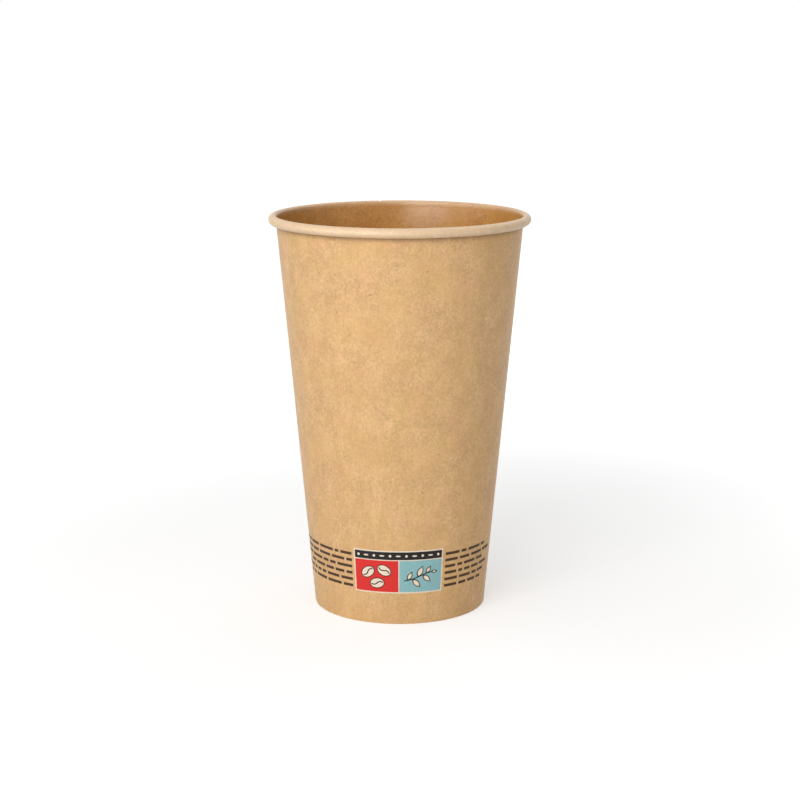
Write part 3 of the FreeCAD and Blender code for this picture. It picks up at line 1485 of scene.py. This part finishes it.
class RowsOfDashesTree(PrintTree):
    """Sets rows of dashes of uneven length and wraps them as the rest of the print is."""

    DASH_COLUMNS = 9

    def __init__(self) -> None:
        """Writes the tree."""
        number = SocketKind.NUMBER
        super().__init__(
            "Rows of dashes",
            {
                "Rows": SocketKind.COUNT,
                "Dashes in a row": SocketKind.COUNT,
                "Row pitch": number,
                "Top row height": number,
                "Row start": number,
                "Direction": number,
                "Shortest row": number,
                "Longest row": number,
                "Dash height": number,
                "Shortest dash": number,
                "Longest dash": number,
                "Gap": number,
                "Seed": SocketKind.COUNT,
            },
        )

    def chance(self, low: str, high: str, number: Any, seed: Any) -> bpy.types.NodeSocket:
        """A random number for each item.

        Args:
            low: Name of the input that holds the least.
            high: Name of the input that holds the most.
            number: The item's number.
            seed: The seed.

        Returns:
            The random number.
        """
        inputs = {"Min": self.given(low), "Max": self.given(high), "ID": number, "Seed": seed}
        node = self.write.add("FunctionNodeRandomValue", inputs, data_type="FLOAT")
        return self.write.out(node, "Value")

    def flat_shapes(self) -> bpy.types.Node:
        """The dashes before they are wrapped.

        Returns:
            The node whose output is the flat dashes.
        """
        write = self.write
        in_row = self.given("Dashes in a row")
        count = write.calc("MULTIPLY", self.given("Rows"), in_row)
        points = write.add("GeometryNodePoints", {"Count": count})
        index = write.add("GeometryNodeInputIndex")
        row = write.calc("FLOOR", write.calc("DIVIDE", index, in_row))
        seed = self.given("Seed")
        length = self.chance("Shortest dash", "Longest dash", index, seed)
        step = write.calc("ADD", length, self.given("Gap"))
        inputs = {"Value": step, "Group ID": row}
        passed = write.add("GeometryNodeAccumulateField", inputs, data_type="FLOAT")
        start = write.out(passed, "Trailing")
        end = write.calc("ADD", start, length)
        room = self.chance("Shortest row", "Longest row", row, write.calc("ADD", seed, 1))
        fits = write.add("FunctionNodeCompare", {0: end, 1: room}, operation="LESS_THAN")
        middle = write.calc("MULTIPLY_ADD", length, 0.5, start)
        across = write.calc("MULTIPLY_ADD", middle, self.given("Direction"), self.given("Row start"))
        down = write.calc("MULTIPLY", row, self.given("Row pitch"))
        height = write.calc("SUBTRACT", self.given("Top row height"), down)
        place = write.add("ShaderNodeCombineXYZ", {"X": across, "Z": height})
        placed_points = write.add("GeometryNodeSetPosition", {"Geometry": points, "Position": place})
        sizes = {"Size X": 1.0, "Size Y": 1.0, "Vertices X": self.DASH_COLUMNS, "Vertices Y": 2}
        dash = write.out(write.add("GeometryNodeMeshGrid", sizes), "Mesh")
        inputs = {"Geometry": dash, "Rotation": (math.pi / 2, 0.0, 0.0)}
        upright = write.add("GeometryNodeTransform", inputs)
        sizes = {"X": length, "Y": 1.0, "Z": self.given("Dash height")}
        scale = write.add("ShaderNodeCombineXYZ", sizes)
        inputs = {"Points": placed_points, "Selection": fits, "Instance": upright, "Scale": scale}
        dashes = write.add("GeometryNodeInstanceOnPoints", inputs)
        return write.add("GeometryNodeRealizeInstances", {"Geometry": dashes})


@dataclass(frozen=True)
class DottedBand:
    """Marks in a row along the dark band, by turns a dot and a dash."""

    count: int = 11
    dot: Point = (0.9 * MM, 0.9 * MM)
    dash: Point = (1.7 * MM, 0.55 * MM)

    def draw(self, art: Art, start: Point, end: Point) -> None:
        """Draws the marks.

        Args:
            art: The shapes of each ink.
            start: Left end of the band's middle line.
            end: Right end of that line.
        """
        for number in range(self.count):
            mark = oval(*(self.dash if number % 2 else self.dot))
            place = between(start, end, (number + 0.5) / self.count)
            art[Ink.CREAM].fill(placed(mark, place, 0.0), 2)


@dataclass(frozen=True)
class CoffeeBeans:
    """Three coffee beans, each with a dark outline and a wavy slit.

    A bean's place is its shift from the middle and its tilt in degrees. The slit's reach and wave
    are shares of the bean's length and width.
    """

    places: tuple[tuple[float, float, float], ...] = (
        (-3.0 * MM, 1.35 * MM, 35.0),
        (2.7 * MM, 2.15 * MM, -30.0),
        (0.2 * MM, -2.5 * MM, 8.0),
    )
    length: float = 4.7 * MM
    width: float = 3.3 * MM
    outline: float = 0.3 * MM
    slit_width: float = 0.39 * MM
    slit_reach: float = 0.44
    slit_wave: float = 0.13
    slit_steps: int = 12

    def draw(self, art: Art, centre: Point) -> None:
        """Draws the beans.

        Args:
            art: The shapes of each ink.
            centre: The middle of the three.
        """
        outside = oval(self.length + 2 * self.outline, self.width + 2 * self.outline)
        inside = oval(self.length, self.width)
        slit = self.slit()
        for across, up, tilt in self.places:
            place = (centre[0] + across, centre[1] + up)
            turn = math.radians(tilt)
            art[Ink.BLACK].fill(placed(outside, place, turn), 2)
            art[Ink.CREAM].fill(placed(inside, place, turn), 3)
            art[Ink.BLACK].line(placed(slit, place, turn), self.slit_width, 4)

    def slit(self) -> list[Point]:
        """Lays out the slit of a bean at the origin.

        Returns:
            The points that it goes through.
        """
        points = []
        for step in range(self.slit_steps + 1):
            share = step / self.slit_steps * 2 - 1
            wave = math.sin(share * math.pi) * self.width * self.slit_wave
            points.append((share * self.length * self.slit_reach, wave))
        return points


@dataclass(frozen=True)
class LeafySprig:
    """A bent stem with pointed leaves on both sides and one at its tip.

    A leaf is the step of the stem that it grows from, its tilt in degrees and its size as a share
    of the largest. The stem is a stretch of a sine wave: it starts at one angle and goes on
    through its bend, both in radians.
    """

    leaves: tuple[tuple[int, float, float], ...] = (
        (2, 62.0, 0.82),
        (5, -48.0, 0.95),
        (8, 66.0, 1.0),
        (11, -42.0, 0.9),
        (13, 58.0, 0.72),
        (16, 2.0, 0.55),
    )
    leaf_length: float = 4.4 * MM
    leaf_width: float = 2.1 * MM
    outline: float = 0.3 * MM
    stem_length: float = 9.4 * MM
    stem_width: float = 0.36 * MM
    stem_middle: float = 0.62
    stem_rise: float = 1.5 * MM
    stem_start: float = -1.5
    stem_bend: float = 2.6
    stem_steps: int = 16

    def draw(self, art: Art, centre: Point) -> None:
        """Draws the sprig.

        Args:
            art: The shapes of each ink.
            centre: Its middle.
        """
        stem = self.stem(centre)
        art[Ink.BLACK].line(stem, self.stem_width, 2)
        for step, tilt, size in self.leaves:
            sizes = (self.leaf_length * size, self.leaf_width * size)
            turn = math.radians(tilt)
            art[Ink.BLACK].fill(placed(leaf(*sizes), stem[step], turn), 3)
            art[Ink.CREAM].fill(placed(leaf(*sizes, self.outline), stem[step], turn), 4)

    def stem(self, centre: Point) -> list[Point]:
        """Lays out the stem.

        Args:
            centre: The sprig's middle.

        Returns:
            The points that it goes through.
        """
        points = []
        for step in range(self.stem_steps + 1):
            share = step / self.stem_steps
            across = (share - self.stem_middle) * self.stem_length
            up = math.sin(share * self.stem_bend + self.stem_start) * self.stem_rise
            points.append((centre[0] + across, centre[1] + up))
        return points


@dataclass
class PrintedPanel:
    """The printed panel low on the front: a cream edge round three fields with plain motifs."""

    form: CupForm
    tree: PrintTree
    left: float = -16.1 * MM
    right: float = 15.1 * MM
    bottom: float = 11.3 * MM
    top: float = 26.7 * MM
    edge: float = 0.45 * MM
    corner: float = 0.35 * MM
    band_height: float = 2.8 * MM
    field_gap: float = 0.35 * MM
    field_split: float = -0.3 * MM
    ink_thickness: float = 0.02 * MM
    layer_step: float = 0.022 * MM
    strip: float = 0.8 * MM
    marks: DottedBand = DottedBand()
    beans: CoffeeBeans = CoffeeBeans()
    sprig: LeafySprig = LeafySprig()

    def draw(self) -> Art:
        """Draws the panel flat.

        Returns:
            The shapes of each ink.
        """
        inks = (Ink.CREAM, Ink.RED, Ink.BLUE, Ink.BLACK)
        art = {ink: FlatArt(self.layer_step, self.strip) for ink in inks}
        left = self.left + self.edge
        right = self.right - self.edge
        bottom = self.bottom + self.edge
        top = self.top - self.edge
        band = top - self.band_height
        fields = band - self.field_gap
        corner = self.corner / 2
        split = (self.field_split - self.field_gap / 2, self.field_split + self.field_gap / 2)
        edge = rounded_box(self.left, self.right, self.bottom, self.top, self.corner)
        art[Ink.CREAM].fill(edge, 0)
        art[Ink.RED].fill(rounded_box(left, split[0], bottom, fields, corner), 1)
        art[Ink.BLUE].fill(rounded_box(split[1], right, bottom, fields, corner), 1)
        art[Ink.BLACK].fill(rounded_box(left, right, band, top, corner), 1)
        self.marks.draw(art, (left, (band + top) / 2), (right, (band + top) / 2))
        middle = (bottom + fields) / 2
        self.beans.draw(art, ((left + split[0]) / 2, middle))
        self.sprig.draw(art, ((split[1] + right) / 2, middle))
        return art

    def build(self, finishes: dict[Ink, bpy.types.Material]) -> list[bpy.types.Object]:
        """Wraps each ink round the wall.

        Args:
            finishes: The material of each ink.

        Returns:
            One finished piece for each ink.
        """
        pieces = []
        for ink, art in self.draw().items():
            values = {
                **self.tree.wall_values(self.form),
                "Ink thickness": self.ink_thickness,
                "Ink": finishes[ink],
            }
            piece = self.tree.apply(art.guide(f"panel_{ink.name.lower()}"), values)
            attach(piece, "root")
            pieces.append(piece)
        return pieces


class Side(Enum):
    """The sides of the panel, each with the way in which its rows run from it."""

    LEFT = -1.0
    RIGHT = 1.0


@dataclass
class RowsBeside:
    """Six rows of dashes of uneven length on one side of the panel."""

    form: CupForm
    tree: RowsOfDashesTree
    side: Side
    row_start: float
    shortest_row: float
    longest_row: float
    seed: int
    row_count: int = 6
    dashes_in_row: int = 24
    row_pitch: float = 2.31 * MM
    top_row: float = 24.5 * MM
    dash_height: float = 1.0 * MM
    shortest_dash: float = 1.6 * MM
    longest_dash: float = 7.5 * MM
    gap: float = 0.95 * MM
    ink_thickness: float = 0.02 * MM

    def build(self, finish: bpy.types.Material) -> bpy.types.Object:
        """Sets the rows and wraps them round the wall.

        Args:
            finish: The material of the ink.

        Returns:
            The finished piece.
        """
        values = {
            **self.tree.wall_values(self.form),
            "Ink thickness": self.ink_thickness,
            "Ink": finish,
            "Rows": self.row_count,
            "Dashes in a row": self.dashes_in_row,
            "Row pitch": self.row_pitch,
            "Top row height": self.top_row,
            "Row start": self.row_start,
            "Direction": self.side.value,
            "Shortest row": self.shortest_row,
            "Longest row": self.longest_row,
            "Dash height": self.dash_height,
            "Shortest dash": self.shortest_dash,
            "Longest dash": self.longest_dash,
            "Gap": self.gap,
            "Seed": self.seed,
        }
        name = f"rows_{self.side.name.lower()}"
        piece = self.tree.apply(new_object(name, bpy.data.meshes.new(name)), values)
        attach(piece, "root")
        return piece


@dataclass(frozen=True)
class Lamp:
    """A soft lamp that stands at a bearing from the front and looks at the cup.

    Bearings are counted from the front towards the right, and rises from level, in degrees. The
    power is in watts. A lamp for the sheen alone shows only in glossy faces.
    """

    name: str
    bearing: float
    rise: float
    distance: float
    width: float
    height: float
    power: float
    sheen_only: bool = False

    def hang(self, aim: tuple[float, float, float]) -> None:
        """Hangs the lamp.

        Args:
            aim: The point that it looks at.
        """
        lamp = bpy.data.lights.new(self.name, "AREA")
        lamp.shape = "RECTANGLE"
        lamp.size = self.width
        lamp.size_y = self.height
        lamp.energy = self.power
        hung = bpy.data.objects.new(self.name, lamp)
        bpy.context.collection.objects.link(hung)
        hung.visible_camera = False
        hung.visible_diffuse = not self.sheen_only
        bearing = math.radians(self.bearing)
        rise = math.radians(self.rise)
        level = self.distance * math.cos(rise)
        hung.location = (
            aim[0] + level * math.sin(bearing),
            aim[1] - level * math.cos(bearing),
            aim[2] + self.distance * math.sin(rise),
        )
        hung.rotation_euler = (math.pi / 2 - rise, 0.0, bearing)


@dataclass
class Studio:
    """A pale floor, soft light from the front left, and the camera.

    Over the two distances of the floor's reach, its glow goes from the first value to the second.
    """

    lens: float = 84.21
    sensor_width: float = 36.0
    camera_place: tuple[float, float, float] = (0.00009, -0.64039, 0.20863)
    camera_tilt: float = math.radians(77.96)
    ambient: float = 0.34
    aim: tuple[float, float, float] = (0.0, 0.0, 0.08)
    lamps: tuple[Lamp, ...] = (
        Lamp("key", bearing=-24.5, rise=23.0, distance=0.80, width=0.54, height=0.66, power=4.4),
        Lamp("top", bearing=-70.0, rise=70.0, distance=1.0, width=0.8, height=0.8, power=1.9),
        Lamp("back_fill", bearing=145.0, rise=48.0, distance=1.1, width=0.8, height=0.7, power=1.5),
        Lamp("low_fill", bearing=85.0, rise=-10.0, distance=0.26, width=0.26, height=0.06, power=0.05),
        Lamp(
            "card",
            bearing=-62.0,
            rise=15.0,
            distance=0.80,
            width=0.9,
            height=0.5,
            power=2.8,
            sheen_only=True,
        ),
    )
    floor_radius: float = 6.0
    floor_sides: int = 96
    floor_colour: Colour = (0.62, 0.62, 0.62, 1.0)
    floor_reach: tuple[float, float] = (0.10, 0.45)
    floor_glow: tuple[float, float] = (0.49, 0.82)

    def build(self) -> None:
        """Sets up the floor, the lamps, the world, the camera and the colour view."""
        self.lay_floor()
        for lamp in self.lamps:
            lamp.hang(self.aim)
        self.light_world()
        self.place_camera()
        bpy.context.scene.view_settings.view_transform = "Standard"

    def lay_floor(self) -> None:
        """Lays the floor, which shows white to the camera and still takes the cup's shadow."""
        turns = [2 * math.pi * side / self.floor_sides for side in range(self.floor_sides)]
        ring = [(*point_on((0.0, 0.0), self.floor_radius, turn), 0.0) for turn in turns]
        mesh = bpy.data.meshes.new("floor")
        mesh.from_pydata(ring, [], [tuple(range(self.floor_sides))])
        floor = new_object("floor", mesh)
        material, write = new_material("pale_floor")
        paint = write.add("ShaderNodeBsdfDiffuse", {"Color": self.floor_colour})
        place = write.out(write.add("ShaderNodeTexCoord"), "Object")
        away = write.out(write.add("ShaderNodeVectorMath", {0: place}, operation="LENGTH"), "Value")
        level = write.ramp(away, *self.floor_reach, *self.floor_glow, soft=True)
        strength = write.calc("MULTIPLY", level, self.seen_directly(write))
        glow = write.add("ShaderNodeEmission", {"Color": WHITE, "Strength": strength})
        surface = write.add("ShaderNodeAddShader", {0: paint, 1: glow})
        write.add("ShaderNodeOutputMaterial", {"Surface": surface})
        mesh.materials.append(material)

    def light_world(self) -> None:
        """Fills the shade from all round, with a white background behind the floor."""
        world = bpy.data.worlds.new("studio")
        world.use_nodes = True
        write = TreeWriter(world.node_tree)
        strength = write.ramp(self.seen_directly(write), 0.0, 1.0, self.ambient, 1.0)
        sky = write.add("ShaderNodeBackground", {"Color": WHITE, "Strength": strength})
        write.add("ShaderNodeOutputWorld", {"Surface": sky})
        bpy.context.scene.world = world

    def seen_directly(self, write: TreeWriter) -> bpy.types.NodeSocket:
        """Whether a ray shows a surface to the camera, itself or in a mirror or glass.

        Args:
            write: The writer of the material's or the world's tree.

        Returns:
            1 for such a ray, and 0 for one that only brings light.
        """
        path = write.add("ShaderNodeLightPath")
        seen = write.out(path, "Is Camera Ray")
        for ray in ("Is Glossy Ray", "Is Transmission Ray"):
            seen = write.calc("MAXIMUM", seen, write.out(path, ray))
        return seen

    def place_camera(self) -> None:
        """Places the camera at the photograph's viewing angle."""
        lens = bpy.data.cameras.new("camera")
        lens.lens = self.lens
        lens.sensor_width = self.sensor_width
        camera = bpy.data.objects.new("camera", lens)
        bpy.context.collection.objects.link(camera)
        camera.location = self.camera_place
        camera.rotation_euler = (self.camera_tilt, 0.0, 0.0)
        bpy.context.scene.camera = camera


def report(piece: bpy.types.Object) -> None:
    """Logs a finished piece with its number of triangles."""
    piece.data.calc_loop_triangles()
    log.info("%s: %d triangles", piece.name, len(piece.data.loop_triangles))


def main() -> None:
    """Builds the cup's pieces in order and sets up the studio."""
    logging.basicConfig(level=logging.INFO, format="%(message)s", stream=sys.stdout)
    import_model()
    form = CupForm()
    faces = {
        "Coated face": COATED_FACE.material(),
        "Kraft face": KRAFT_FACE.material(),
        "Cut edge": CutEdgeFinish().material(),
    }
    board_tree = RolledBoardTree()
    report(SideWall(form, board_tree).build(faces))
    report(BottomDisc(form, board_tree).build(faces))
    inks = {ink: InkFinish(ink).material() for ink in Ink}
    for piece in PrintedPanel(form, PrintTree()).build(inks):
        report(piece)
    dashes = RowsOfDashesTree()
    right = RowsBeside(
        form,
        dashes,
        Side.RIGHT,
        row_start=16.1 * MM,
        shortest_row=19.5 * MM,
        longest_row=29.0 * MM,
        seed=4,
    )
    left = RowsBeside(
        form,
        dashes,
        Side.LEFT,
        row_start=-17.0 * MM,
        shortest_row=25.0 * MM,
        longest_row=34.0 * MM,
        seed=9,
    )
    for rows in (right, left):
        report(rows.build(inks[Ink.BROWN]))
    Studio().build()


if __name__ == "__main__":
    main()
